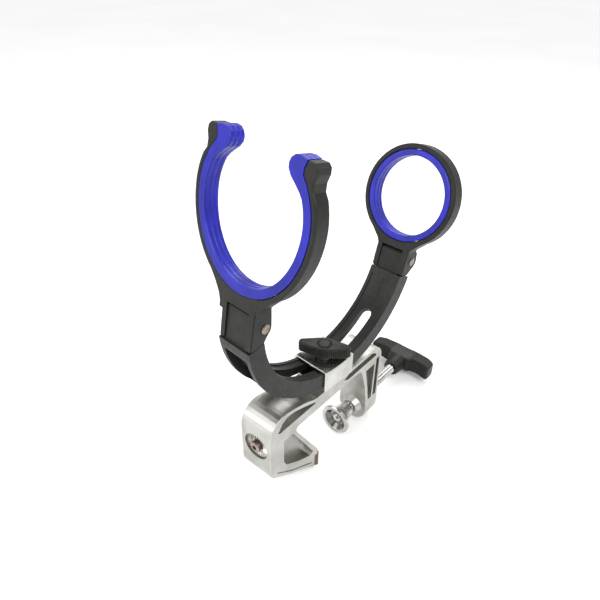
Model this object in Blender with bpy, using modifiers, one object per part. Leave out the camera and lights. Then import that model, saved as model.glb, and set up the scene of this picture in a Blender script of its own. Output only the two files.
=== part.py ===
"""Clamp-on fishing rod holder: C-clamp, swivelling saddle, sliding arc arm, rod yoke and rod ring.

Lengths below are in millimetres and angles in degrees; every builder converts them to metres.
World frame: X runs along the clamp screw towards the fixed jaw's outer face, Z is up, and the
origin is the centre of the fixed jaw's clamping face.
"""

import math

import bmesh
import bpy
from mathutils import Matrix

MM = 0.001
GAP = 0.3

# Clamp
CLAMP_WIDTH = 25.4
BEAM_TOP = 61.6
BEAM_BOTTOM = 50.5
LEG_OUTER = -73.0
JAW_OUTER = 52.0
POCKET_DEPTH = 6.5
JAW_SCREW_HEIGHT = 45.0
JAW_SCREW_RADIUS = 3.0
SPOT_FACE_RADIUS = 10.0
SPOT_FACE_DEPTH = 2.2
JAW_WASHER_RADIUS = 9.0

# Clamp screw, M8
SCREW_RADIUS = 4.0
SCREW_FRONT = -37.4
SCREW_REAR = -133.0
FOOT_FACE = -34.0
FOOT_RADIUS = 12.5
HANDLE_CENTRE = -134.0
HANDLE_HALF_LENGTH = 29.0
HANDLE_HEIGHT = 14.4

# Swivel, saddle and knob
PIVOT_X = -16.5
SWIVEL_ANGLE = -3.0
BOLT_RADIUS = 4.0
SADDLE_HALF_LENGTH = 14.5
SADDLE_WALL = 1.3
SADDLE_BOTTOM = BEAM_TOP + 0.35
KNOB_BOTTOM = 79.9
KNOB_HEIGHT = 8.4
KNOB_HALF_LENGTH = 18.0
KNOB_HALF_WIDTH = 6.9
KNOB_ANGLE = 118.0
WASHER_BOTTOM = 78.0

# Arc arm, in the arm plane: s along the arm, z up, arc centre above the bolt
ARC_CENTRE_Z = 146.0
ARM_INNER = 70.2
ARM_OUTER = 82.0
ARM_WIDTH = 25.2
ARM_FRONT_ANGLE = -10.5
ARM_REAR_ANGLE = -156.5
SLOT_WIDTH = 9.2
SLOT_HALF_ANGLE = 41.0
ARM_TAPER = 3.1
ARM_TAPER_START = -42.0
TONGUE_WIDTH = 17.0

# Hinges, in the arm plane
PIN_RADIUS = 2.2
FORK_SLOT = TONGUE_WIDTH + 2 * GAP
FORK_WIDTH = 26.0
FRONT_PIN = (65.5, 143.5)
REAR_PIN = (-76.0, 125.5)

# Yoke and ring, in their own planes
YOKE_TILT = 11.5
YOKE_CENTRE = (4.1, 63.3)
YOKE_LEAN = 2.5
YOKE_OUTER = 42.6
YOKE_LINER = 39.4
YOKE_BORE = 34.9
YOKE_DEPTH = 9.8
YOKE_STRETCH = 1.17
RING_TILT = 17.0
RING_CENTRE = (3.6, 44.0)
RING_OUTER = 34.8
RING_LINER = 31.2
RING_BORE = 27.0
RING_DEPTH = 10.6

BLACK_PLASTIC = ((0.012, 0.012, 0.011), 0.48, 0.0)
BLUE_PLASTIC = ((0.022, 0.025, 0.50), 0.38, 0.0)
CAST_ALUMINIUM = ((0.56, 0.55, 0.52), 0.38, 1.0)
ZINC_STEEL = ((0.62, 0.61, 0.58), 0.25, 1.0)
PIN_STEEL = ((0.42, 0.36, 0.31), 0.32, 1.0)
PAD_RUBBER = ((0.12, 0.075, 0.05), 0.75, 0.0)


def clear_scene():
    for old in list(bpy.data.objects):
        bpy.data.objects.remove(old)


def new_collection(name):
    group = bpy.data.collections.new(name)
    bpy.context.scene.collection.children.link(group)
    return group


clear_scene()
PARTS = new_collection("rod_holder")
CUTTERS = new_collection("cutters")


def material(name, look):
    colour, roughness, metallic = look
    made = bpy.data.materials.new(name)
    made.use_nodes = True
    shader = made.node_tree.nodes["Principled BSDF"]
    shader.inputs["Base Color"].default_value = (*colour, 1.0)
    shader.inputs["Roughness"].default_value = roughness
    shader.inputs["Metallic"].default_value = metallic
    return made


# ---------------------------------------------------------------- frames

def arm_frame():
    """Arm plane to world: local X is s, local Y is sideways, local Z is up."""
    return Matrix.Translation((PIVOT_X * MM, 0, 0)) @ Matrix.Rotation(math.radians(SWIVEL_ANGLE), 4, "Z")


def upright(frame):
    """Turn a flat outline (x, y) into the plane (x, z) of a frame, centred on its y = 0."""
    return frame @ Matrix.Rotation(math.radians(90), 4, "X")


def facing_x(frame):
    """Turn a flat outline (x, y) into the plane (y, z) of a frame, with thickness along its x."""
    axes = Matrix(((0, 0, 1, 0), (1, 0, 0, 0), (0, 1, 0, 0), (0, 0, 0, 1)))
    return frame @ axes


def hinge_frame(pin, tilt):
    """Frame on a hinge pin, leaning back by the tilt, with its axes along the arm plane's."""
    place = Matrix.Translation((pin[0] * MM, 0, pin[1] * MM))
    return arm_frame() @ place @ Matrix.Rotation(-math.radians(tilt), 4, "Y")


def along_x(x, y=0.0, z=0.0):
    """World frame whose local Z runs along world X, for turned shapes on the screw axis."""
    return Matrix.Translation((x * MM, y * MM, z * MM)) @ Matrix.Rotation(math.radians(90), 4, "Y")


def along_y(frame, s, z):
    """Frame at (s, z) of an arm-plane frame whose local Z runs sideways."""
    return frame @ Matrix.Translation((s * MM, 0, z * MM)) @ Matrix.Rotation(math.radians(-90), 4, "X")


# ---------------------------------------------------------------- outlines

def arc(centre, radius, start, end, steps):
    """Points on an arc, both ends included."""
    points = []
    for i in range(steps + 1):
        angle = math.radians(start + (end - start) * i / steps)
        points.append((centre[0] + radius * math.cos(angle), centre[1] + radius * math.sin(angle)))
    return points


def mirrored(points):
    """The same outline run back on the other side of the vertical axis."""
    return [(-x, y) for x, y in reversed(points)]


def band(centre, inner, outer, start, end, steps):
    """A ring sector as a closed outline."""
    return arc(centre, outer, start, end, steps) + arc(centre, inner, end, start, steps)


# ---------------------------------------------------------------- builders

def add_object(name, mesh, frame, collection):
    made = bpy.data.objects.new(name, mesh)
    made.matrix_world = frame
    collection.objects.link(made)
    return made


def plate(name, outlines, thickness, frame, collection=PARTS, whole_faces=False):
    """Extrude flat outlines, the first outside and the rest holes, evenly about their plane.

    whole_faces merges each flat face into one polygon, which keeps fine edge rounding clean.
    """
    curve = bpy.data.curves.new(name, "CURVE")
    curve.dimensions = "2D"
    curve.fill_mode = "BOTH"
    curve.extrude = thickness * MM / 2
    for points in outlines:
        spline = curve.splines.new("POLY")
        spline.points.add(len(points) - 1)
        for target, (x, y) in zip(spline.points, points):
            target.co = (x * MM, y * MM, 0, 1)
        spline.use_cyclic_u = True
    guide = bpy.data.objects.new(name + "_outline", curve)
    PARTS.objects.link(guide)
    graph = bpy.context.evaluated_depsgraph_get()
    mesh = bpy.data.meshes.new_from_object(guide.evaluated_get(graph))
    bpy.data.objects.remove(guide)
    bm = bmesh.new()
    bm.from_mesh(mesh)
    bmesh.ops.remove_doubles(bm, verts=bm.verts, dist=1e-6)
    if whole_faces:
        bmesh.ops.dissolve_limit(bm, angle_limit=0.002, verts=bm.verts, edges=bm.edges)
    bmesh.ops.recalc_face_normals(bm, faces=bm.faces)
    bm.to_mesh(mesh)
    bm.free()
    mesh.name = name
    return add_object(name, mesh, frame, collection)


def turned(name, profile, frame, steps=40, closed=False, collection=PARTS):
    """Turn a profile of (radius, height) points, run top to bottom, about local Z."""
    mesh = bpy.data.meshes.new(name)
    points = [(radius * MM, 0, height * MM) for radius, height in profile]
    edges = [(i, i + 1) for i in range(len(points) - 1)]
    if closed:
        edges.append((len(points) - 1, 0))
    mesh.from_pydata(points, edges, [])
    made = add_object(name, mesh, frame, collection)
    screw = made.modifiers.new("Turn", "SCREW")
    screw.axis = "Z"
    screw.steps = steps
    screw.render_steps = steps
    screw.use_merge_vertices = True
    screw.merge_threshold = 0.00001
    screw.use_smooth_shade = True
    return made


def rod(name, radius, bottom, top, frame, steps=40, collection=PARTS):
    """A plain cylinder along local Z."""
    return turned(name, [(0, top), (radius, top), (radius, bottom), (0, bottom)], frame, steps,
                  collection=collection)


def prism(name, sides, radius, bottom, top, frame, collection=PARTS):
    """A regular prism along local Z, by its corner radius."""
    bpy.ops.mesh.primitive_cylinder_add(vertices=sides, radius=radius * MM, depth=(top - bottom) * MM)
    made = bpy.context.object
    made.name = name
    made.data.name = name
    for group in list(made.users_collection):
        group.objects.unlink(made)
    collection.objects.link(made)
    made.matrix_world = frame @ Matrix.Translation((0, 0, (top + bottom) / 2 * MM))
    return made


def round_edges(target, width, segments=2, angle=32):
    bevel = target.modifiers.new("Edges", "BEVEL")
    bevel.width = width * MM
    bevel.segments = segments
    bevel.limit_method = "ANGLE"
    bevel.angle_limit = math.radians(angle)
    bevel.harden_normals = False


def combine(target, others, operation):
    for other in others:
        if other.name not in CUTTERS.objects:
            PARTS.objects.unlink(other)
            CUTTERS.objects.link(other)
        other.hide_render = True
        other.display_type = "WIRE"
        boolean = target.modifiers.new(other.name, "BOOLEAN")
        boolean.operation = operation
        boolean.solver = "EXACT"
        boolean.object = other


def cut(target, *others):
    combine(target, others, "DIFFERENCE")


def join(target, *others):
    combine(target, others, "UNION")


def finish(target, look, smooth=True):
    target.data.materials.clear()
    target.data.materials.append(material(target.name + "_material", look))
    if smooth and len(target.data.polygons):
        target.data.shade_smooth()
        target.data.set_sharp_from_angle(angle=math.radians(32))


def side_pockets(name, outline, depth):
    """A matching pair of cutters for pockets in the clamp's two sides."""
    reach = 3.0
    offset = CLAMP_WIDTH / 2 - depth / 2 + reach / 2
    pair = []
    for side in (-1, 1):
        frame = Matrix.Translation((0, side * offset * MM, 0)) @ Matrix.Rotation(math.radians(90), 4, "X")
        label = "left" if side < 0 else "right"
        pair.append(plate(f"{name}_{label}", [outline], depth + reach, frame, CUTTERS))
    return pair


# ---------------------------------------------------------------- clamp

def clamp_outline():
    """Side profile of the casting: beaked fixed jaw, humped beam and threaded leg."""
    jaw = [(3.0, 4.5), (6.3, 4.5), (6.3, -7.6), (14.0, -1.8), (30.5, 8.2), (44.0, 17.2)]
    heel = arc((44.0, 27.0), 8.0, -52, 0, 4)
    shoulder = arc((38.0, 56.8), 14.0, 0, 105, 9)
    hump = [(27.0, 68.8), (18.0, 66.4), (10.0, 62.9), (5.5, BEAM_TOP)]
    corner = arc((-61.0, 49.6), 12.0, 90, 180, 6)
    leg = [(LEG_OUTER, 0.0), (-72.2, -14.0), (-57.6, -14.0), (-57.9, 6.0), (-54.4, 27.0)]
    throat = arc((-43.0, 45.5), 5.0, 165, 90, 4)
    beak = arc((24.4, 48.2), 2.3, 90, -31, 4)
    return jaw + heel + shoulder + hump + corner + leg + throat + beak + [(3.0, 8.9)]


def hump_pocket():
    top = [(44.6, 59.6), (40.5, 65.2), (36.0, 67.7), (30.0, 67.4), (20.5, 64.5), (12.5, 61.4)]
    return top + [(7.0, 59.4), (8.5, 58.2), (43.0, 58.2)]


def beam_pocket():
    return [(-24.0, 56.3), (-30.0, 59.0), (-59.0, 59.0), (-63.5, 57.0), (-66.0, 53.6), (-30.0, 53.6)]


def leg_pockets():
    inner = [(-52.6, 46.0), (-64.4, 46.0), (-64.4, 11.0), (-59.8, 11.0), (-57.2, 27.0)]
    outer = [(-66.2, 50.0), (-70.6, 50.0), (-70.6, 11.0), (-66.2, 11.0)]
    return inner, outer


def jaw_pocket():
    return [(39.3, 48.4), (39.3, 28.0), (36.8, 23.0), (22.7, 14.4), (11.5, 9.4), (8.2, 11.2), (30.4, 48.4)]


def flange_groove():
    return [(46.0, 22.4), (45.4, 23.6), (31.2, 13.0), (9.2, 0.5), (9.8, -0.8), (31.9, 11.6)]


def build_clamp():
    body = plate("clamp_body", [clamp_outline()], CLAMP_WIDTH, upright(Matrix()))
    round_edges(body, 0.9)
    inner, outer = leg_pockets()
    for name, outline, depth in (
        ("pocket_hump", hump_pocket(), POCKET_DEPTH),
        ("pocket_beam", beam_pocket(), POCKET_DEPTH),
        ("pocket_leg_inner", inner, POCKET_DEPTH),
        ("pocket_leg_outer", outer, POCKET_DEPTH),
        ("pocket_jaw", jaw_pocket(), POCKET_DEPTH),
        ("groove_flange", flange_groove(), 1.0),
    ):
        cut(body, *side_pockets(name, outline, depth))
    half = CLAMP_WIDTH / 2
    below_boss = [(-half - 3, -20), (half + 3, -20), (half + 3, 0.0)]
    below_boss += arc((0, 0), half, 0, -180, 16) + [(-half - 3, 0.0)]
    rounding = plate("leg_end", [below_boss], 26, facing_x(Matrix.Translation((-65 * MM, 0, 0))), CUTTERS)
    cut(body, rounding)
    axis = along_x(0)
    throat_side = [(0, -53.2), (6.6, -53.2), (9.4, -58.6), (9.4, -62.0), (0, -62.0)]
    handle_side = [(0, -70.0), (8.6, -70.0), (8.6, -73.2), (6.8, -75.6), (0, -75.6)]
    join(body, turned("boss_throat", throat_side, axis), turned("boss_handle", handle_side, axis))
    bore = rod("bore_screw", SCREW_RADIUS + GAP, -80.0, -50.0, axis, 32, CUTTERS)
    jaw_axis = along_x(0, 0, JAW_SCREW_HEIGHT)
    spot_floor = JAW_OUTER - SPOT_FACE_DEPTH
    spot = rod("spot_face", SPOT_FACE_RADIUS, spot_floor, JAW_OUTER + 6, jaw_axis, 48, CUTTERS)
    jaw_bore = JAW_SCREW_RADIUS + GAP
    tapped = rod("bore_jaw_screw", jaw_bore, JAW_OUTER - 14, JAW_OUTER + 2, jaw_axis, 24, CUTTERS)
    pivot = Matrix.Translation((PIVOT_X * MM, 0, 0))
    bolt_bore = rod("bore_bolt", BOLT_RADIUS + GAP, BEAM_BOTTOM - 5, BEAM_TOP + 5, pivot, 32, CUTTERS)
    nut_seat = prism("nut_seat", 6, 7.9, BEAM_BOTTOM - 4, BEAM_BOTTOM + 6.4, pivot, CUTTERS)
    cut(body, bore, spot, tapped, bolt_bore, nut_seat)
    finish(body, CAST_ALUMINIUM)


def build_jaw_pieces():
    profile = [(0, -11.0), (1.2, -11.6), (6.0, -8.0), (6.0, 4.2), (1.0, 4.2), (0, 3.2)]
    pad = plate("jaw_pad", [profile], CLAMP_WIDTH - 2.0, upright(Matrix()))
    finish(pad, PAD_RUBBER, smooth=False)
    seat = JAW_OUTER - SPOT_FACE_DEPTH
    axis = along_x(0, 0, JAW_SCREW_HEIGHT)
    rim = JAW_WASHER_RADIUS
    washer_profile = [(3.4, seat + 1.1), (rim, seat + 1.1), (rim, seat + GAP), (3.4, seat + GAP)]
    washer = turned("jaw_washer", washer_profile, axis, 32, closed=True)
    finish(washer, ZINC_STEEL)
    head = seat + 1.1 + GAP
    profile = [(0, head + 2.4), (2.9, head + 2.4), (3.9, head + 1.8), (4.1, head), (JAW_SCREW_RADIUS, head)]
    profile += [(JAW_SCREW_RADIUS, JAW_OUTER - 13), (2.2, JAW_OUTER - 13.6), (0, JAW_OUTER - 13.6)]
    screw = turned("jaw_screw", profile, axis, 24)
    socket = prism("socket_jaw_screw", 6, 2.0, head + 0.9, head + 4, axis, CUTTERS)
    cut(screw, socket)
    finish(screw, PIN_STEEL)


def build_spindle():
    axis = along_x(0)
    front = SCREW_FRONT
    rear = SCREW_REAR
    shaft = [(0, front), (3.4, front), (SCREW_RADIUS, front - 0.8)]
    shaft += [(SCREW_RADIUS, rear + 0.6), (3.4, rear), (0, rear)]
    screw = turned("clamp_screw", shaft, axis, 32)
    finish(screw, ZINC_STEEL)
    dome = [(0, -35.0), (1.6, -35.2), (3.4, -36.0), (4.0, -36.7), (4.0, -37.1), (0, -37.1)]
    rivet = turned("foot_rivet", dome, axis, 24)
    finish(rivet, ZINC_STEEL)
    face = FOOT_FACE
    rim = FOOT_RADIUS
    bell = [(9.4, face), (11.9, face), (rim, face - 0.6), (rim, face - 1.8), (11.3, face - 3.0)]
    bell += [(9.3, face - 4.9), (7.7, face - 7.4), (6.7, face - 10.4), (6.3, face - 13.6)]
    bell += [(6.1, face - 16.2)]
    bore = SCREW_RADIUS + GAP
    bell += [(5.6, face - 16.7), (bore, face - 16.7), (bore, face - 3.4), (6.4, face - 3.4)]
    foot = turned("swivel_foot", bell, axis, 48, closed=True)
    finish(foot, ZINC_STEEL)


def handle_outline():
    """The T-handle from above, as distance along Y and along X from its own centre."""
    end = HANDLE_HALF_LENGTH
    front = [(0, 8.0), (7.5, 7.4), (11.5, 5.0), (17.0, 4.4), (23.0, 5.4), (end - 2.4, 6.8)]
    tip = [(end - 0.4, 5.4), (end, 1.8), (end - 0.8, -4.2), (end - 2.8, -6.4)]
    rear = [(20.0, -8.4), (11.0, -9.0), (0, -8.6)]
    half = front + tip + rear
    return half + mirrored(half)[1:-1]


def build_handle():
    flat = Matrix(((0, 1, 0, 0), (1, 0, 0, 0), (0, 0, -1, 0), (0, 0, 0, 1)))
    centre = Matrix.Translation((HANDLE_CENTRE * MM, 0, 0))
    bar = plate("t_handle", [handle_outline()], HANDLE_HEIGHT, centre @ flat)
    round_edges(bar, 1.4, 2, 40)
    front = -114.6
    cone = [(0, front), (6.4, front), (7.0, front - 0.8), (8.4, front - 12.5), (0, front - 12.5)]
    join(bar, turned("handle_hub", cone, along_x(0)))
    bore = rod("bore_handle", SCREW_RADIUS + GAP, SCREW_REAR - GAP, front + 3, along_x(0), 32, CUTTERS)
    cut(bar, bore)
    finish(bar, BLACK_PLASTIC)


# ---------------------------------------------------------------- saddle, knob and bolt

def sagitta_arc(radius, half_length, steps):
    """Arc about the arm's centre between s = -half_length and s = +half_length, in the arm plane."""
    half = math.degrees(math.asin(half_length / radius))
    return arc((0, ARC_CENTRE_Z), radius, -90 - half, -90 + half, steps)


def build_saddle():
    frame = arm_frame()
    half = SADDLE_HALF_LENGTH
    roof = ARM_INNER - GAP - 0.05
    outline = [(-half, SADDLE_BOTTOM), (half, SADDLE_BOTTOM)]
    outline += list(reversed(sagitta_arc(roof - 1.4, half, 10)))
    inner_half = ARM_WIDTH / 2 + GAP
    saddle = plate("saddle", [outline], 2 * (inner_half + SADDLE_WALL), upright(frame))
    round_edges(saddle, 0.4, 1, 50)
    tunnel = band((0, ARC_CENTRE_Z), roof, ARM_OUTER + GAP + 0.05, -103, -77, 14)
    cut(saddle, plate("saddle_tunnel", [tunnel], 2 * inner_half, upright(frame), CUTTERS))
    cut(saddle, rod("bore_saddle", BOLT_RADIUS + GAP, SADDLE_BOTTOM - 3, 90, frame, 32, CUTTERS))
    finish(saddle, CAST_ALUMINIUM)


def knob_outline():
    """Long six-sided thumb knob with soft corners: two long flats each side of a round hub."""
    length = KNOB_HALF_LENGTH
    width = KNOB_HALF_WIDTH
    quarter = [(length, 0.9), (length - 1.2, 2.3), (6.0, width - 0.9), (3.4, width - 0.25), (0, width)]
    half = quarter + mirrored(quarter)[1:]
    return half + [(-x, -y) for x, y in half]


def build_knob():
    frame = Matrix.Translation((PIVOT_X * MM, 0, 0)) @ Matrix.Rotation(math.radians(KNOB_ANGLE), 4, "Z")
    middle = Matrix.Translation((0, 0, (KNOB_BOTTOM + KNOB_HEIGHT / 2) * MM))
    knob = plate("knob", [knob_outline()], KNOB_HEIGHT, frame @ middle)
    round_edges(knob, 0.8, 2, 40)
    top = KNOB_BOTTOM + KNOB_HEIGHT
    cut(knob, rod("cap_seat", 4.9, top - 1.2, top + 3, frame, 32, CUTTERS))
    cut(knob, rod("bore_knob", BOLT_RADIUS + GAP, KNOB_BOTTOM - 3, top - 2.6, frame, 32, CUTTERS))
    finish(knob, BLACK_PLASTIC)
    button = [(0, top + 0.5), (3.4, top + 0.4), (4.5, top - 0.1), (4.5, top - 0.9), (0, top - 0.9)]
    cap = turned("knob_cap", button, frame, 32)
    finish(cap, BLACK_PLASTIC)
    washer_top = KNOB_BOTTOM - GAP
    bore = BOLT_RADIUS + GAP
    section = [(bore, washer_top), (5.8, washer_top), (5.8, WASHER_BOTTOM), (bore, WASHER_BOTTOM)]
    washer = turned("knob_washer", section, frame, 32, closed=True)
    finish(washer, BLACK_PLASTIC)
    bolt_top = top - 2.6 - GAP
    stud = [(0, bolt_top), (3.6, bolt_top), (BOLT_RADIUS, bolt_top - 0.4)]
    stud += [(BOLT_RADIUS, 51.6), (3.4, 51.0), (0, 51.0)]
    bolt = turned("knob_bolt", stud, frame, 32)
    finish(bolt, ZINC_STEEL)
    pivot = Matrix.Translation((PIVOT_X * MM, 0, 0))
    nut = prism("lock_nut", 6, 7.5, BEAM_BOTTOM + 0.2, BEAM_BOTTOM + 6.1, pivot)
    cut(nut, rod("bore_nut", bore, BEAM_BOTTOM - 3, BEAM_BOTTOM + 9, pivot, 32, CUTTERS))
    finish(nut, ZINC_STEEL, smooth=False)


# ---------------------------------------------------------------- arc arm

def on_arc(radius, angle):
    turn = math.radians(angle)
    return (radius * math.cos(turn), ARC_CENTRE_Z + radius * math.sin(turn))


def arm_band(inner, outer, start, end, steps):
    """Band of the arm between two radii, drawn in towards its front end past the saddle's travel."""
    rims = []
    for radius in (outer, inner):
        rim = []
        for i in range(steps + 1):
            angle = start + (end - start) * i / steps
            share = max(0.0, (angle - ARM_TAPER_START) / (ARM_FRONT_ANGLE - ARM_TAPER_START))
            rim.append(on_arc(radius - ARM_TAPER * share ** 1.5, angle))
        rims.append(rim)
    return rims[0] + list(reversed(rims[1]))


def front_tongue():
    """Tongue in the front hinge's frame: square-nosed ahead of the pin, round behind it."""
    nose = [(0.6, -14.5), (8.0, -17.0), (8.2, 7.8), (6.8, 9.2), (0.0, 9.4), (-3.4, 5.6)]
    return nose + arc((0, 0), 5.0, 140, 235, 6) + [(0.2, -11.4)]


def rear_tongue():
    """Tongue in the rear hinge's frame: square-nosed towards the yoke, round behind the pin."""
    nose = [(-1.6, -15.0), (7.6, -14.0), (8.0, 4.6), (6.6, 6.4), (0.0, 7.4)]
    return nose + arc((0, 0), 6.6, 110, 225, 8)


def build_arm():
    frame = arm_frame()
    plane = upright(frame)
    outline = arm_band(ARM_INNER, ARM_OUTER, ARM_REAR_ANGLE, ARM_FRONT_ANGLE, 44)
    arm = plate("arm", [outline], ARM_WIDTH, plane)
    round_edges(arm, 0.7, 2, 50)
    floor = arm_band(ARM_INNER - 3, ARM_INNER + 0.9, ARM_REAR_ANGLE + 4, ARM_FRONT_ANGLE - 5, 40)
    hollow_front = arm_band(ARM_OUTER - 5.6, ARM_OUTER + 3, -44, ARM_FRONT_ANGLE - 5, 10)
    hollow_middle = arm_band(ARM_OUTER - 5.6, ARM_OUTER + 3, -136, -48, 24)
    hollow_rear = arm_band(ARM_OUTER - 5.6, ARM_OUTER + 3, ARM_REAR_ANGLE + 4, -140, 5)
    cut(arm, plate("arm_floor", [floor], ARM_WIDTH - 5.0, plane, CUTTERS))
    for name, outline in (("front", hollow_front), ("middle", hollow_middle), ("rear", hollow_rear)):
        cut(arm, plate("arm_hollow_" + name, [outline], ARM_WIDTH - 6.4, plane, CUTTERS))
    slot_front = -90 + SLOT_HALF_ANGLE - 3
    slot_rear = -90 - SLOT_HALF_ANGLE + 3
    slot = band((0, ARC_CENTRE_Z), ARM_INNER - 6, ARM_OUTER + 6, slot_rear, slot_front, 26)
    cut(arm, plate("arm_slot", [slot], SLOT_WIDTH, plane, CUTTERS))
    for name, angle in (("front", slot_front), ("rear", slot_rear)):
        turn = Matrix.Rotation(math.radians(-angle - 90), 4, "Y")
        end = frame @ Matrix.Translation((0, 0, ARC_CENTRE_Z * MM)) @ turn
        cut(arm, rod("slot_end_" + name, SLOT_WIDTH / 2, -ARM_OUTER - 6, -ARM_INNER + 6, end, 24, CUTTERS))
    front_hinge = hinge_frame(FRONT_PIN, YOKE_TILT)
    rear_hinge = hinge_frame(REAR_PIN, RING_TILT)
    front = plate("tongue_front", [front_tongue()], TONGUE_WIDTH, upright(front_hinge))
    rear = plate("tongue_rear", [rear_tongue()], TONGUE_WIDTH, upright(rear_hinge))
    join(arm, front, rear)
    for name, (s, z) in (("front", FRONT_PIN), ("rear", REAR_PIN)):
        cut(arm, rod("arm_pin_bore_" + name, PIN_RADIUS + GAP, -20, 20, along_y(frame, s, z), 24, CUTTERS))
    finish(arm, BLACK_PLASTIC)


# ---------------------------------------------------------------- yoke and ring

def oval(radius, start, end, steps):
    """Arc of the yoke's shape: a circle above its centre, stretched downwards below it."""
    points = []
    for x, y in arc((0, 0), radius, start, end, steps):
        points.append((x, y * YOKE_STRETCH if y < 0 else y))
    return points


def yoke_frame_half():
    """Right half of the yoke frame, from the neck up the outside and down the liner's seat."""
    neck = [(13.0, 3 - YOKE_CENTRE[1]), (13.0, -57.0), (14.6, -52.6), (18.6, -47.0)]
    sweep = oval(YOKE_OUTER, -57, 24, 22)
    tip = [(36.6, 20.5), (36.3, 24.5), (37.4, 28.6), (37.0, 31.8), (35.2, 33.4)]
    seat = [(30.6, 33.6), (29.3, 29.4)]
    return neck + sweep + tip + seat + oval(YOKE_LINER + GAP / 2, 42, -90, 32)


def yoke_liner_half():
    """Right half of the liner, from the bottom up its back and down its inner face."""
    tip = [(29.0, 29.4), (30.3, 33.6), (26.6, 34.4), (23.2, 34.0), (21.0, 32.2)]
    bulb = [(20.0, 29.6), (20.3, 27.0), (22.2, 24.2), (25.6, 21.4), (28.8, 18.6)]
    return oval(YOKE_LINER - GAP / 2, -90, 42, 32) + tip + bulb + oval(YOKE_BORE, 27, -90, 28)


def build_fork(target, frame, profile, label, slot_top):
    """Join the neck block, cut the slot for the tongue and bore the pin hole."""
    block = plate("neck_" + label, [profile], FORK_WIDTH, upright(frame))
    round_edges(block, 1.0, 1, 40)
    join(target, block)
    slot = [(-24, -24), (24, -24), (24, slot_top), (-24, slot_top)]
    cut(target, plate("fork_slot_" + label, [slot], FORK_SLOT, upright(frame), CUTTERS))
    cut(target, rod("fork_bore_" + label, PIN_RADIUS + GAP, -20, 20, along_y(frame, 0, 0), 24, CUTTERS))


def build_pin(name, place):
    half = FORK_WIDTH / 2
    head = 2.9
    profile = [(0, half + 0.9), (2.0, half + 0.8), (head, half + GAP + 0.1), (head, half + GAP)]
    profile += [(PIN_RADIUS, half + GAP), (PIN_RADIUS, -half - 0.2), (1.8, -half - 0.6), (0, -half - 0.6)]
    finish(turned(name, profile, place, 24), PIN_STEEL)


def head_plane(frame, centre, lean=0.0):
    """Plane of the yoke or the ring, from its centre forward of and above the hinge pin."""
    middle = frame @ Matrix.Translation((centre[0] * MM, 0, centre[1] * MM))
    return facing_x(middle @ Matrix.Rotation(math.radians(-lean), 4, "X"))


def build_yoke():
    frame = hinge_frame(FRONT_PIN, YOKE_TILT)
    plane = head_plane(frame, YOKE_CENTRE, YOKE_LEAN)
    half = yoke_frame_half()
    yoke = plate("yoke_frame", [half[:-1] + mirrored(half)], YOKE_DEPTH, plane, whole_faces=True)
    round_edges(yoke, 0.9, 2, 45)
    profile = [(8.9, -13.4), (9.2, -4.0), (9.4, 8.0), (8.8, 22.0), (-0.6, 22.0), (-3.6, 12.0), (-5.2, 3.0)]
    profile += arc((0, 0), 5.6, 170, 222, 5) + [(-1.3, -9.35)]
    build_fork(yoke, frame, profile, "front", 9.4 + GAP)
    seat = oval(YOKE_LINER + GAP / 2, 215, 325, 24)
    cut(yoke, plate("yoke_liner_seat", [seat], YOKE_DEPTH + 20, plane, CUTTERS))
    finish(yoke, BLACK_PLASTIC)
    half = yoke_liner_half()
    liner = plate("yoke_liner", [half[1:-1] + mirrored(half)], YOKE_DEPTH, plane)
    round_edges(liner, 0.8, 2, 45)
    finish(liner, BLUE_PLASTIC)
    build_pin("front_hinge_pin", along_y(frame, 0, 0))


def build_ring():
    frame = hinge_frame(REAR_PIN, RING_TILT)
    plane = head_plane(frame, RING_CENTRE)
    half = [(12.7, 4 - RING_CENTRE[1]), (12.7, -37.5), (14.2, -34.4), (18.0, -30.6)]
    half += arc((0, 0), RING_OUTER, -54, 90, 34)
    hole = arc((0, 0), RING_LINER + GAP / 2, 0, 354, 59)
    ring = plate("ring_frame", [half[:-1] + mirrored(half), hole], RING_DEPTH, plane, whole_faces=True)
    round_edges(ring, 0.9, 2, 45)
    profile = [(8.5, -10.25), (8.9, -4.0), (8.9, 6.0), (7.6, 10.6), (-0.6, 10.6), (-5.4, 6.5)]
    profile += arc((0, 0), 7.2, 150, 232, 7) + [(0.2, -10.9)]
    build_fork(ring, frame, profile, "rear", 7.4 + GAP)
    finish(ring, BLACK_PLASTIC)
    edge = RING_LINER - GAP / 2
    face = RING_DEPTH / 2
    section = [(RING_BORE, face - 0.5), (RING_BORE + 0.6, face), (edge - 0.6, face), (edge, face - 0.6)]
    section += [(edge, 0.6 - face), (edge - 0.6, -face), (RING_BORE + 0.6, -face), (RING_BORE, 0.5 - face)]
    finish(turned("ring_liner", section, plane, 64, closed=True), BLUE_PLASTIC)
    build_pin("rear_hinge_pin", along_y(frame, 0, 0))


build_clamp()
build_jaw_pieces()
build_spindle()
build_handle()
build_saddle()
build_knob()
build_arm()
build_yoke()
build_ring()
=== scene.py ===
import math

import bmesh
import bpy
from mathutils import Matrix, Vector


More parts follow.
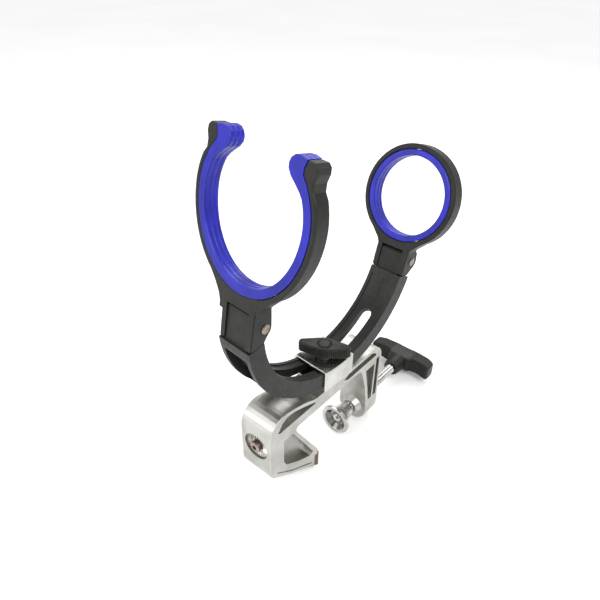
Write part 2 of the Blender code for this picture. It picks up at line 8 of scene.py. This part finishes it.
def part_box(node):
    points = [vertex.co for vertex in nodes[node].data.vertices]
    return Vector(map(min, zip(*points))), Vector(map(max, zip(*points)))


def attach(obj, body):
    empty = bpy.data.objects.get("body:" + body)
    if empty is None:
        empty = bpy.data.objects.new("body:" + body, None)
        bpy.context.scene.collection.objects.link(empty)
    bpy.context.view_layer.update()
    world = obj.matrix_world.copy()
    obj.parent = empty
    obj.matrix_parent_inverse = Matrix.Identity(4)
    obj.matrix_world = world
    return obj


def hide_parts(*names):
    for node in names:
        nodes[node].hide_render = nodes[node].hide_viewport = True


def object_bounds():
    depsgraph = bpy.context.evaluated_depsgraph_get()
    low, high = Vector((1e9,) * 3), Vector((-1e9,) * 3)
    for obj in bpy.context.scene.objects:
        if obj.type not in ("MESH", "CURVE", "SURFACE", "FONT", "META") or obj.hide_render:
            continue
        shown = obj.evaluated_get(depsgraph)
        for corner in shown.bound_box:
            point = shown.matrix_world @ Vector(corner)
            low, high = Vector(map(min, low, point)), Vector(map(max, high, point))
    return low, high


MM = 0.001
PIVOT = (-0.0165, 0.0, 0.0)
SWIVEL = math.radians(-3.0)
ARC_CENTRE = Vector((0.0, 0.0, 0.146))
ORIGIN = (0.0, 0.0, 0.0)
SCREW_AXIS = (1.0, 0.0, 0.0)
BOLT_AXIS = (0.0, 0.0, 1.0)
JAW_SCREW_CENTRE = (0.052, 0.0, 0.045)
YOKE_CENTRE = (0.04032, -0.00298, 0.20635)
RING_CENTRE = (-0.101805, 0.004471, 0.16863)
YOKE_TILT = 11.5
RING_TILT = 17.0

# Detail sizes, in millimetres and degrees
THREAD_RADIUS = 4.0
THREAD_PITCH = 1.25
THREAD_DEPTH = 0.68
SCREW_REAR = -133.0
SCREW_FRONT = -37.4
KNOB_ANGLE = 118.0
KNOB_RIB_SPACING = 0.36
KNOB_RIB_DEPTH = 0.65
HANDLE_CENTRE = -134.0
HANDLE_HALF_HEIGHT = 7.15
HANDLE_RIB_PITCH = 1.05
HANDLE_RIB_DEPTH = 0.42
WASHER_RIDGES = 24
PAD_TEETH = 11

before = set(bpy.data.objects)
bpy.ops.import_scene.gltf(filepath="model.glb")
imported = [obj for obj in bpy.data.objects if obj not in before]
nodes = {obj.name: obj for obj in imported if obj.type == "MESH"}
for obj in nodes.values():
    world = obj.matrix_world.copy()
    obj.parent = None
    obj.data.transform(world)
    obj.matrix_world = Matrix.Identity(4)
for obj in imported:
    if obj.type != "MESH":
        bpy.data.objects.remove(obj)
cad_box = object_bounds()


# ---------------------------------------------------------------- materials

class Shader:
    """A Principled material whose colour, roughness and bump come from procedural nodes."""

    def __init__(self, name, metallic, specular=0.5):
        self.material = bpy.data.materials.new(name)
        self.material.use_nodes = True
        self.tree = self.material.node_tree
        self.shader = self.tree.nodes["Principled BSDF"]
        self.shader.inputs["Metallic"].default_value = metallic
        self.shader.inputs["Specular IOR Level"].default_value = specular
        self.place = self.node("ShaderNodeTexCoord").outputs["Object"]
        self.normal = None

    def node(self, kind):
        return self.tree.nodes.new(kind)

    def link(self, output, target):
        self.tree.links.new(output, target)

    def noise(self, scale, detail=3.0, vector=None):
        made = self.node("ShaderNodeTexNoise")
        made.inputs["Scale"].default_value = scale
        made.inputs["Detail"].default_value = detail
        self.link(vector or self.place, made.inputs["Vector"])
        return made.outputs["Fac"]

    def stretched(self, matrix_scale, rotation=(0.0, 0.0, 0.0)):
        made = self.node("ShaderNodeMapping")
        made.inputs["Scale"].default_value = matrix_scale
        made.inputs["Rotation"].default_value = rotation
        self.link(self.place, made.inputs["Vector"])
        return made.outputs["Vector"]

    def math(self, operation, first, second=None):
        made = self.node("ShaderNodeMath")
        made.operation = operation
        for socket, value in zip(made.inputs, (first, second)):
            if value is None:
                continue
            if isinstance(value, (int, float)):
                socket.default_value = value
            else:
                self.link(value, socket)
        return made.outputs["Value"]

    def vector(self, operation, first, second=None):
        made = self.node("ShaderNodeVectorMath")
        made.operation = operation
        self.link(first, made.inputs[0])
        if second is not None:
            made.inputs[1].default_value = second
        return made

    def along(self, direction, centre=ORIGIN):
        """Distance of the surface point past a centre, measured along a direction, in metres."""
        shifted = self.vector("SUBTRACT", self.place, centre).outputs["Vector"]
        return self.vector("DOT_PRODUCT", shifted, direction).outputs["Value"]

    def around(self, axis, centre):
        """Distance of the surface point from a line, in metres."""
        shifted = self.vector("SUBTRACT", self.place, centre).outputs["Vector"]
        cross = self.vector("CROSS_PRODUCT", shifted, axis).outputs["Vector"]
        return self.vector("LENGTH", cross).outputs["Value"]

    def ramp(self, factor, dark, light, low, high):
        made = self.node("ShaderNodeValToRGB")
        made.color_ramp.elements[0].position = low
        made.color_ramp.elements[1].position = high
        made.color_ramp.elements[0].color = (*dark, 1.0)
        made.color_ramp.elements[1].color = (*light, 1.0)
        self.link(factor, made.inputs["Fac"])
        return made.outputs["Color"]

    def edges(self, radius):
        """Mask that is bright on a piece's own edges, broken up by noise as handling wears them."""
        rounded = self.node("ShaderNodeBevel")
        rounded.samples = 3
        rounded.inputs["Radius"].default_value = radius
        flat = self.node("ShaderNodeNewGeometry")
        dot = self.vector("DOT_PRODUCT", rounded.outputs["Normal"])
        self.link(flat.outputs["Normal"], dot.inputs[1])
        bend = self.math("SUBTRACT", 1.0, dot.outputs["Value"])
        spread = self.math("MULTIPLY", bend, 7.0)
        patchy = self.math("MULTIPLY", spread, self.noise(650.0, 3.0))
        return self.math("MINIMUM", patchy, 1.0)

    def mix(self, factor, first, second):
        made = self.node("ShaderNodeMix")
        made.data_type = "RGBA"
        self.link(factor, made.inputs[0])
        for socket, value in ((made.inputs[6], first), (made.inputs[7], second)):
            if isinstance(value, tuple):
                socket.default_value = (*value, 1.0)
            else:
                self.link(value, socket)
        return made.outputs[2]

    def colour(self, factor, tones, radius=0.0006):
        """Patchy base colour from a dark to a light tone, and a worn third tone on the edges."""
        tone = self.ramp(factor, tones[0], tones[1], 0.35, 0.65)
        if len(tones) > 2:
            tone = self.mix(self.edges(radius), tone, tones[2])
        self.link(tone, self.shader.inputs["Base Color"])
        return tone

    def roughness(self, factor, low, high):
        made = self.node("ShaderNodeMapRange")
        made.inputs["From Min"].default_value = 0.3
        made.inputs["From Max"].default_value = 0.7
        made.inputs["To Min"].default_value = low
        made.inputs["To Max"].default_value = high
        self.link(factor, made.inputs["Value"])
        self.link(made.outputs["Result"], self.shader.inputs["Roughness"])

    def bump(self, height, strength, distance):
        made = self.node("ShaderNodeBump")
        made.inputs["Strength"].default_value = strength
        made.inputs["Distance"].default_value = distance
        self.link(height, made.inputs["Height"])
        if self.normal is not None:
            self.link(self.normal, made.inputs["Normal"])
        self.normal = made.outputs["Normal"]
        self.link(self.normal, self.shader.inputs["Normal"])


def black_plastic():
    made = Shader("moulded_black", 0.0, 0.25)
    tones = ((0.0055, 0.0057, 0.0050), (0.0115, 0.0118, 0.0100), (0.040, 0.041, 0.037))
    made.colour(made.noise(90.0, 4.0), tones)
    made.roughness(made.noise(420.0, 5.0), 0.36, 0.50)
    made.bump(made.noise(2600.0, 2.0), 0.35, 0.00012)
    made.bump(made.noise(260.0, 3.0), 0.20, 0.00020)
    return made.material


def blue_liner(name, normal, centre, half_width):
    """Royal-blue lining with two shallow channels running round its inner face."""
    made = Shader(name, 0.0, 0.28)
    tones = ((0.007, 0.008, 0.22), (0.013, 0.014, 0.34), (0.040, 0.050, 0.60))
    made.colour(made.noise(70.0, 4.0), tones)
    made.roughness(made.noise(300.0, 4.0), 0.30, 0.44)
    across = made.math("DIVIDE", made.along(normal, centre), half_width)
    wave = made.math("COSINE", made.math("MULTIPLY", across, 3.0 * math.pi))
    made.bump(made.math("SMOOTH_MIN", wave, 0.2), 0.55, 0.0006)
    made.bump(made.noise(1500.0, 2.0), 0.20, 0.00010)
    return made.material


def cast_aluminium():
    made = Shader("die_cast_aluminium", 0.92)
    tones = ((0.34, 0.335, 0.31), (0.46, 0.455, 0.425), (0.66, 0.65, 0.62))
    made.colour(made.noise(45.0, 5.0), tones, 0.0009)
    made.roughness(made.noise(160.0, 5.0), 0.30, 0.48)
    made.bump(made.noise(1700.0, 3.0), 0.28, 0.00014)
    made.bump(made.noise(120.0, 3.0), 0.18, 0.0004)
    return made.material


def drawn_aluminium():
    """Saddle: formed strip with a fine grain along its length."""
    made = Shader("drawn_aluminium", 1.0)
    grain = made.noise(1.0, 4.0, made.stretched((260.0, 3800.0, 3800.0), (0.0, 0.0, -SWIVEL)))
    tones = ((0.42, 0.415, 0.39), (0.55, 0.545, 0.515), (0.74, 0.73, 0.70))
    made.colour(made.noise(60.0, 4.0), tones, 0.0005)
    made.roughness(grain, 0.18, 0.34)
    made.bump(grain, 0.18, 0.00006)
    return made.material


def zinc_steel(name, axis, centre, recess=None):
    """Bright zinc plate over turned steel, with faint rings about its axis.

    recess is the radius and the depth plane of a hollow face whose colour is darkened as painted shade.
    """
    made = Shader(name, 1.0)
    tones = ((0.36, 0.355, 0.335), (0.54, 0.53, 0.505), (0.74, 0.73, 0.71))
    tone = made.colour(made.noise(130.0, 4.0), tones, 0.0004)
    away = made.around(axis, centre)
    made.roughness(made.noise(380.0, 4.0), 0.14, 0.30)
    rings = made.math("SINE", made.math("MULTIPLY", away, 14000.0))
    made.bump(rings, 0.10, 0.00004)
    if recess:
        radius, plane = recess
        # Painted shade: inside the recess radius and in front of its depth plane, the colour is darkened
        # to a mottled near-black.
        inside = made.math("LESS_THAN", away, radius)
        fore = made.math("GREATER_THAN", made.along(axis), plane)
        recess_shade = made.math("MULTIPLY", made.math("MULTIPLY", inside, fore), 0.72)
        shade_mottle = made.noise(900.0, 5.0)
        shade_tone = made.ramp(shade_mottle, (0.035, 0.032, 0.027), (0.16, 0.15, 0.13), 0.35, 0.65)
        made.link(made.mix(recess_shade, tone, shade_tone), made.shader.inputs["Base Color"])
    return made.material


def ridged_steel(centre):
    """Zinc-plated washer whose radial grooves have gone brown."""
    made = Shader("ridged_steel", 1.0)
    tones = ((0.50, 0.49, 0.46), (0.66, 0.65, 0.62), (0.78, 0.77, 0.75))
    tone = made.colour(made.noise(130.0, 4.0), tones, 0.0003)
    y = made.along((0.0, 1.0, 0.0), centre)
    z = made.along((0.0, 0.0, 1.0), centre)
    wave = made.math("SINE", made.math("MULTIPLY", made.math("ARCTAN2", z, y), WASHER_RIDGES))
    groove = made.math("MULTIPLY", made.math("GREATER_THAN", 0.1, wave), 0.9)
    blots = made.noise(700.0, 4.0)
    stain = made.ramp(blots, (0.045, 0.033, 0.022), (0.14, 0.11, 0.085), 0.35, 0.65)
    made.link(made.mix(groove, tone, stain), made.shader.inputs["Base Color"])
    made.roughness(made.noise(380.0, 4.0), 0.20, 0.36)
    made.bump(made.noise(1600.0, 3.0), 0.2, 0.00008)
    return made.material


def pin_steel():
    made = Shader("pin_steel", 1.0)
    tones = ((0.17, 0.130, 0.100), (0.36, 0.30, 0.25), (0.52, 0.47, 0.42))
    made.colour(made.noise(500.0, 4.0), tones, 0.0003)
    made.roughness(made.noise(900.0, 4.0), 0.26, 0.44)
    made.bump(made.noise(2200.0, 2.0), 0.2, 0.00006)
    return made.material


def pad_rubber():
    made = Shader("pad_rubber", 0.0, 0.3)
    tones = ((0.075, 0.045, 0.028), (0.17, 0.115, 0.08), (0.30, 0.22, 0.16))
    made.colour(made.noise(320.0, 5.0), tones, 0.0004)
    made.roughness(made.noise(500.0, 3.0), 0.66, 0.85)
    made.bump(made.noise(2400.0, 3.0), 0.5, 0.00018)
    return made.material


# ---------------------------------------------------------------- mesh helpers

def add_piece(name, bm, material, body, replaced, sharp=34):
    """Finish a mesh as a piece that rides a body and may stand for a CAD node."""
    bmesh.ops.recalc_face_normals(bm, faces=bm.faces)
    mesh = bpy.data.meshes.new(name)
    bm.to_mesh(mesh)
    bm.free()
    mesh.shade_smooth()
    mesh.set_sharp_from_angle(angle=math.radians(sharp))
    made = bpy.data.objects.new(name, mesh)
    bpy.context.scene.collection.objects.link(made)
    made.data.materials.append(material)
    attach(made, body)
    if replaced:
        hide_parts(replaced)


def loop(bm, points):
    return [bm.verts.new(point) for point in points]


def bridge(bm, first, second):
    """Join two loops of equal count with a strip of quads."""
    count = len(first)
    for i in range(count):
        j = (i + 1) % count
        bm.faces.new((first[i], first[j], second[j], second[i]))


def loft(bm, rings):
    """Skin closed rings of equal count and cap both ends."""
    loops = [loop(bm, ring) for ring in rings]
    for first, second in zip(loops, loops[1:]):
        bridge(bm, first, second)
    bm.faces.new(loops[0])
    bm.faces.new(list(reversed(loops[-1])))


def circle(radius, count):
    """Points round a circle, as pairs."""
    angles = (math.tau * i / count for i in range(count))
    return [(radius * math.cos(angle), radius * math.sin(angle)) for angle in angles]


def resample(outline, spacing):
    """Points along a closed outline at an even spacing, each with its outward normal."""
    count = len(outline)
    result = []
    for i in range(count):
        start = Vector(outline[i])
        end = Vector(outline[(i + 1) % count])
        length = (end - start).length
        steps = max(1, round(length / spacing))
        direction = (end - start).normalized()
        normal = Vector((direction.y, -direction.x))
        for k in range(steps):
            result.append((start.lerp(end, k / steps), normal))
    return result


# ---------------------------------------------------------------- threads

def thread_depth(angle, height):
    """Depth of a right-hand thread below its crest, at an angle round and a height along its axis."""
    phase = (height / THREAD_PITCH - angle / math.tau) % 1.0
    ramp = abs(2.0 * phase - 1.0)
    return THREAD_DEPTH * min(1.0, max(0.0, 1.35 * ramp - 0.18))


def threaded_rod(name, bottom, top, placing, material, body, replaced):
    """M8 thread between two heights, chamfered at both ends."""
    crest = THREAD_RADIUS - 0.03
    sides = 30
    rows = round((top - bottom) / THREAD_PITCH * 7)
    rings = []
    for row in range(rows + 1):
        height = bottom + (top - bottom) * row / rows
        chamfer = max(0.0, 0.9 - min(height - bottom, top - height))
        ring = []
        for i in range(sides):
            angle = math.tau * i / sides
            reach = min(crest - thread_depth(angle, height), crest - chamfer)
            point = Vector((reach * math.cos(angle), reach * math.sin(angle), height)) * MM
            ring.append(placing @ point)
        rings.append(ring)
    bm = bmesh.new()
    loft(bm, rings)
    add_piece(name, bm, material, body, replaced, 60)


# ---------------------------------------------------------------- knob

def knob_outline():
    """Long thumb knob from above: a slim lozenge with soft corners, in millimetres."""
    quarter = [(18.0, 1.0), (16.8, 2.5), (6.0, 6.1), (3.4, 6.7), (0.0, 6.9)]
    half = quarter + [(-x, y) for x, y in reversed(quarter[:-1])]
    return half + [(-x, -y) for x, y in half]


def build_knob(material):
    """Knob with fine upright ribs round its sides and a round seat for its cap."""
    low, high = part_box("knob")
    bottom = low[2] + 0.00005
    top = high[2] - 0.00005
    place = Matrix.Translation(PIVOT) @ Matrix.Rotation(math.radians(KNOB_ANGLE), 4, "Z")
    sides = resample(knob_outline(), KNOB_RIB_SPACING)

    def lifted(flat, height):
        return place @ Vector((flat.x * MM, flat.y * MM, height))

    def wall(inset, ribbed, height):
        ring = []
        for i, (point, normal) in enumerate(sides):
            groove = KNOB_RIB_DEPTH if ribbed and i % 4 in (0, 1) else 0.0
            ring.append(lifted(point - normal * (inset + groove), height))
        return ring

    def seat(radius, height):
        return [lifted(point.normalized() * radius, height) for point, _ in sides]

    step = 0.0009
    rings = [
        wall(1.0, False, bottom),
        wall(0.15, False, bottom + step * 0.8),
        wall(0.05, True, bottom + step * 1.2),
        wall(0.0, True, top - step * 1.6),
        wall(0.15, False, top - step * 1.1),
        wall(0.55, False, top - step * 0.35),
        wall(1.1, False, top),
        seat(5.3, top),
        seat(4.95, top - 0.0003),
        seat(4.95, top - 0.0012),
    ]
    bm = bmesh.new()
    loft(bm, rings)
    add_piece("knob_ribbed", bm, material, "knob_turn", "knob", 28)


# ---------------------------------------------------------------- T-handle

def eased(points, x):
    """Smooth value at x through (x, value) points."""
    for (x0, y0), (x1, y1) in zip(points, points[1:]):
        if x <= x1:
            share = (x - x0) / (x1 - x0)
            share = share * share * (3 - 2 * share)
            return y0 + (y1 - y0) * share
    return points[-1][1]


def handle_stations(end):
    """Cuts along the handle, close enough to draw its ribs and finer at its two tips."""
    ribbed = 2 * end - 4.8
    count = round(ribbed / (HANDLE_RIB_PITCH / 4))
    middle = [-end + 2.4 + ribbed * i / count for i in range(count + 1)]
    return [-end, -end + 0.3, -end + 1.2] + middle + [end - 1.2, end - 0.3, end]


def rounded_box(middle, half_x, half_z, station):
    """Cross-section of the handle at a station along Y, with rounded corners."""
    corner = 2.0
    ring = []
    for sx, sz, start in ((1, 1, 0), (-1, 1, 90), (-1, -1, 180), (1, -1, 270)):
        for k in range(5):
            angle = math.radians(start + 90 * k / 4)
            x = middle + sx * (half_x - corner) + corner * math.cos(angle)
            z = sz * (half_z - corner) + corner * math.sin(angle)
            ring.append(Vector(((HANDLE_CENTRE + x) * MM, station * MM, z * MM)))
    return ring


def build_handle(material):
    """T-handle: a lofted bar, bowed and ribbed towards its ends, on a tapered hub."""
    low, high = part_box("t_handle")
    end = (high[1] - low[1]) / 2 / MM - 0.1
    front = [(0, 8.0), (8.0, 7.4), (12.5, 4.9), (18.0, 4.3), (24.0, 5.4), (end, 6.6)]
    rear = [(0, -8.5), (11.0, -8.9), (20.0, -8.3), (end, -5.6)]
    rings = []
    for station in handle_stations(end):
        reach = abs(station)
        tip = max(0.0, 1.0 - (end - reach) / 2.4)
        shrink = 2.6 * (1 - math.sqrt(max(0.0, 1 - tip * tip)))
        in_groove = (station / HANDLE_RIB_PITCH) % 1.0 < 0.5
        rib = HANDLE_RIB_DEPTH if in_groove and 9.5 < reach < end - 1.6 else 0.0
        x_front = eased(front, reach) - shrink - rib
        x_rear = eased(rear, reach) + shrink + rib
        half_z = HANDLE_HALF_HEIGHT - 0.02 - shrink * 0.8 - rib
        rings.append(rounded_box((x_front + x_rear) / 2, (x_front - x_rear) / 2, half_z, station))
    bm = bmesh.new()
    loft(bm, rings)
    hub = [(-128.0, 8.3), (-127.0, 8.3), (-121.5, 7.7), (-116.2, 7.0), (-115.2, 6.7)]
    hub += [(-114.7, 6.1), (-114.65, 4.4)]
    loft(bm, [[Vector((x, y, z)) * MM for y, z in circle(radius, 40)] for x, radius in hub])
    add_piece("t_handle_ribbed", bm, material, "spindle", "t_handle", 26)


# ---------------------------------------------------------------- jaw pieces

def build_pad(material):
    """Jaw pad with a row of level grip teeth on its clamping face."""
    bottom = -11.2
    top = 3.6
    tooth = (top - bottom) / PAD_TEETH
    outline = []
    for i in range(PAD_TEETH):
        outline.append((0.62, bottom + tooth * i))
        outline.append((0.02, bottom + tooth * (i + 0.5)))
    outline += [(0.62, top), (1.0, 4.15), (5.95, 4.15), (5.95, -7.9), (1.2, -11.5)]
    middle_x, middle_z = 3.0, -3.0
    rings = []
    for y, inset in ((-11.68, 0.25), (-11.4, 0.0), (11.4, 0.0), (11.68, 0.25)):
        scale_x = 1.0 - inset / 3.0
        scale_z = 1.0 - inset / 7.5
        ring = []
        for x, z in outline:
            drawn_x = middle_x + (x - middle_x) * scale_x
            drawn_z = middle_z + (z - middle_z) * scale_z
            ring.append(Vector((drawn_x, y, drawn_z)) * MM)
        rings.append(ring)
    bm = bmesh.new()
    loft(bm, rings)
    add_piece("jaw_pad_toothed", bm, material, "clamp", "jaw_pad", 25)


def build_washer(material):
    """Jaw screw's washer with a crown of fine radial ridges."""
    low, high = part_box("jaw_washer")
    z = (low[2] + high[2]) / 2
    back = low[0] + 0.00002
    crest = high[0] - 0.00002
    rim = (high[2] - low[2]) / 2 / MM - 0.02
    bm = bmesh.new()

    def ring(radius, ridge_x, groove_x):
        points = []
        for i, (across, up) in enumerate(circle(radius, WASHER_RIDGES * 4)):
            x = ridge_x if i % 4 in (0, 1) else groove_x
            points.append(Vector((x, across * MM, z + up * MM)))
        return loop(bm, points)

    groove = crest - 0.00045
    loops = [
        ring(3.5, back, back),
        ring(rim, back, back),
        ring(rim, crest - 0.0003, groove - 0.0001),
        ring(rim - 0.5, crest, groove),
        ring(5.3, crest, groove),
        ring(5.0, groove, groove),
        ring(3.5, groove, groove),
    ]
    for first, second in zip(loops, loops[1:] + loops[:1]):
        bridge(bm, first, second)
    add_piece("jaw_washer_ridged", bm, material, "clamp", "jaw_washer", 20)


def build_centre_rib(material):
    """Fine moulded line down the middle of the arm's channel, behind the slot."""
    arm_plane = Matrix.Translation(PIVOT) @ Matrix.Rotation(SWIVEL, 4, "Z")
    rings = []
    for i in range(25):
        angle = math.radians(-135.5 - 15.5 * i / 24)
        ring = []
        for side, radius in ((-0.45, 71.35), (-0.2, 70.75), (0.2, 70.75), (0.45, 71.35)):
            spoke = Vector((radius * math.cos(angle), side, radius * math.sin(angle)))
            ring.append(arm_plane @ (spoke * MM + ARC_CENTRE))
        rings.append(ring)
    bm = bmesh.new()
    loft(bm, rings)
    add_piece("arm_centre_rib", bm, material, "arc_arm", None)


# ---------------------------------------------------------------- assembly

def paint(names, material):
    """Give carried-over CAD nodes their material."""
    for name in names:
        slots = nodes[name].data.materials
        slots.clear()
        slots.append(material)


def soften(node, width):
    """Small rounded edges on a carried-over CAD node."""
    bevel = nodes[node].modifiers.new("Soft edges", "BEVEL")
    bevel.width = width
    bevel.segments = 2
    bevel.limit_method = "ANGLE"
    bevel.angle_limit = math.radians(40)


def plane_normal(tilt):
    """Axis of the yoke's or the ring's bore, which leans back by a tilt in degrees."""
    lean = math.radians(tilt)
    return Matrix.Rotation(SWIVEL, 3, "Z") @ Vector((math.cos(lean), 0.0, math.sin(lean)))


black = black_plastic()
screw_steel = zinc_steel("zinc_screw", SCREW_AXIS, ORIGIN)
bolt_steel = zinc_steel("zinc_bolt", BOLT_AXIS, PIVOT)
foot_steel = zinc_steel("zinc_foot", SCREW_AXIS, ORIGIN, (0.0093, -0.0378))

paint(("arm", "yoke_frame", "ring_frame", "knob_cap", "knob_washer"), black)
paint(("clamp_body",), cast_aluminium())
paint(("saddle",), drawn_aluminium())
paint(("yoke_liner",), blue_liner("yoke_lining", plane_normal(YOKE_TILT), YOKE_CENTRE, 0.0049))
paint(("ring_liner",), blue_liner("ring_lining", plane_normal(RING_TILT), RING_CENTRE, 0.0053))
paint(("swivel_foot",), foot_steel)
paint(("foot_rivet",), screw_steel)
paint(("lock_nut",), bolt_steel)
paint(("front_hinge_pin", "rear_hinge_pin", "jaw_screw"), pin_steel())
soften("lock_nut", 0.0003)

to_x = Matrix.Rotation(math.radians(90), 4, "Y")
threaded_rod("clamp_screw_threaded", SCREW_REAR, SCREW_FRONT, to_x, screw_steel, "spindle", "clamp_screw")
low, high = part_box("knob_bolt")
to_bolt = Matrix.Translation(PIVOT)
threaded_rod("knob_bolt_threaded", low[2] / MM, high[2] / MM, to_bolt, bolt_steel, "clamp", "knob_bolt")
build_knob(black)
build_handle(black)
build_pad(pad_rubber())
build_washer(ridged_steel(JAW_SCREW_CENTRE))
build_centre_rib(black)


# ---------------------------------------------------------------- studio

def build_floor():
    """Pale floor just under the lowest point."""
    depth = cad_box[0][2] - 0.0005
    bm = bmesh.new()
    bmesh.ops.create_grid(bm, x_segments=1, y_segments=1, size=4.0)
    mesh = bpy.data.meshes.new("floor")
    bm.to_mesh(mesh)
    bm.free()
    floor = bpy.data.objects.new("floor", mesh)
    bpy.context.scene.collection.objects.link(floor)
    floor.location = (0.0, 0.0, depth)
    made = Shader("pale_floor", 0.0, 0.1)
    made.colour(made.noise(3.0, 2.0), ((0.86, 0.86, 0.86), (0.88, 0.88, 0.88)))
    made.roughness(made.noise(30.0, 2.0), 0.9, 1.0)
    floor.data.materials.append(made.material)


def area_light(name, place, target, size, power):
    light = bpy.data.lights.new(name, "AREA")
    light.shape = "DISK"
    light.size = size
    light.energy = power
    made = bpy.data.objects.new(name, light)
    bpy.context.scene.collection.objects.link(made)
    made.location = place
    made.rotation_euler = (Vector(target) - Vector(place)).to_track_quat("-Z", "Y").to_euler()


def build_studio():
    """White light from above that falls to grey at the horizon, and three soft lamps."""
    world = bpy.data.worlds.new("studio")
    bpy.context.scene.world = world
    world.use_nodes = True
    tree = world.node_tree
    place = tree.nodes.new("ShaderNodeTexCoord")
    split = tree.nodes.new("ShaderNodeSeparateXYZ")
    tree.links.new(place.outputs["Generated"], split.inputs["Vector"])
    ramp = tree.nodes.new("ShaderNodeValToRGB")
    ramp.color_ramp.elements[0].position = 0.12
    ramp.color_ramp.elements[0].color = (0.52, 0.52, 0.52, 1.0)
    ramp.color_ramp.elements[1].position = 0.62
    ramp.color_ramp.elements[1].color = (1.0, 1.0, 1.0, 1.0)
    tree.links.new(split.outputs["Z"], ramp.inputs["Fac"])
    tree.links.new(ramp.outputs["Color"], tree.nodes["Background"].inputs["Color"])
    tree.nodes["Background"].inputs["Strength"].default_value = 1.15
    middle = (-0.02, 0.0, 0.1)
    area_light("key", (0.25, 0.75, 0.95), middle, 0.7, 9.0)
    area_light("fill", (0.9, -0.5, 0.5), middle, 0.8, 4.5)
    area_light("back", (-0.8, -0.3, 0.9), middle, 0.6, 5.0)


def build_camera():
    camera = bpy.data.cameras.new("camera")
    camera.sensor_width = 36.0
    camera.lens = 32.57
    camera.clip_start = 0.01
    camera.clip_end = 20.0
    made = bpy.data.objects.new("camera", camera)
    bpy.context.scene.collection.objects.link(made)
    right = Vector((-0.65045, 0.75947, 0.01061))
    up = Vector((-0.42547, -0.37590, 0.82321))
    back = right.cross(up)
    turn = Matrix((right, up, back)).transposed().to_4x4()
    made.matrix_world = Matrix.Translation((0.21295, 0.17125, 0.32067)) @ turn
    bpy.context.scene.camera = made


build_floor()
build_studio()
build_camera()
bpy.context.scene.view_settings.view_transform = "Standard"
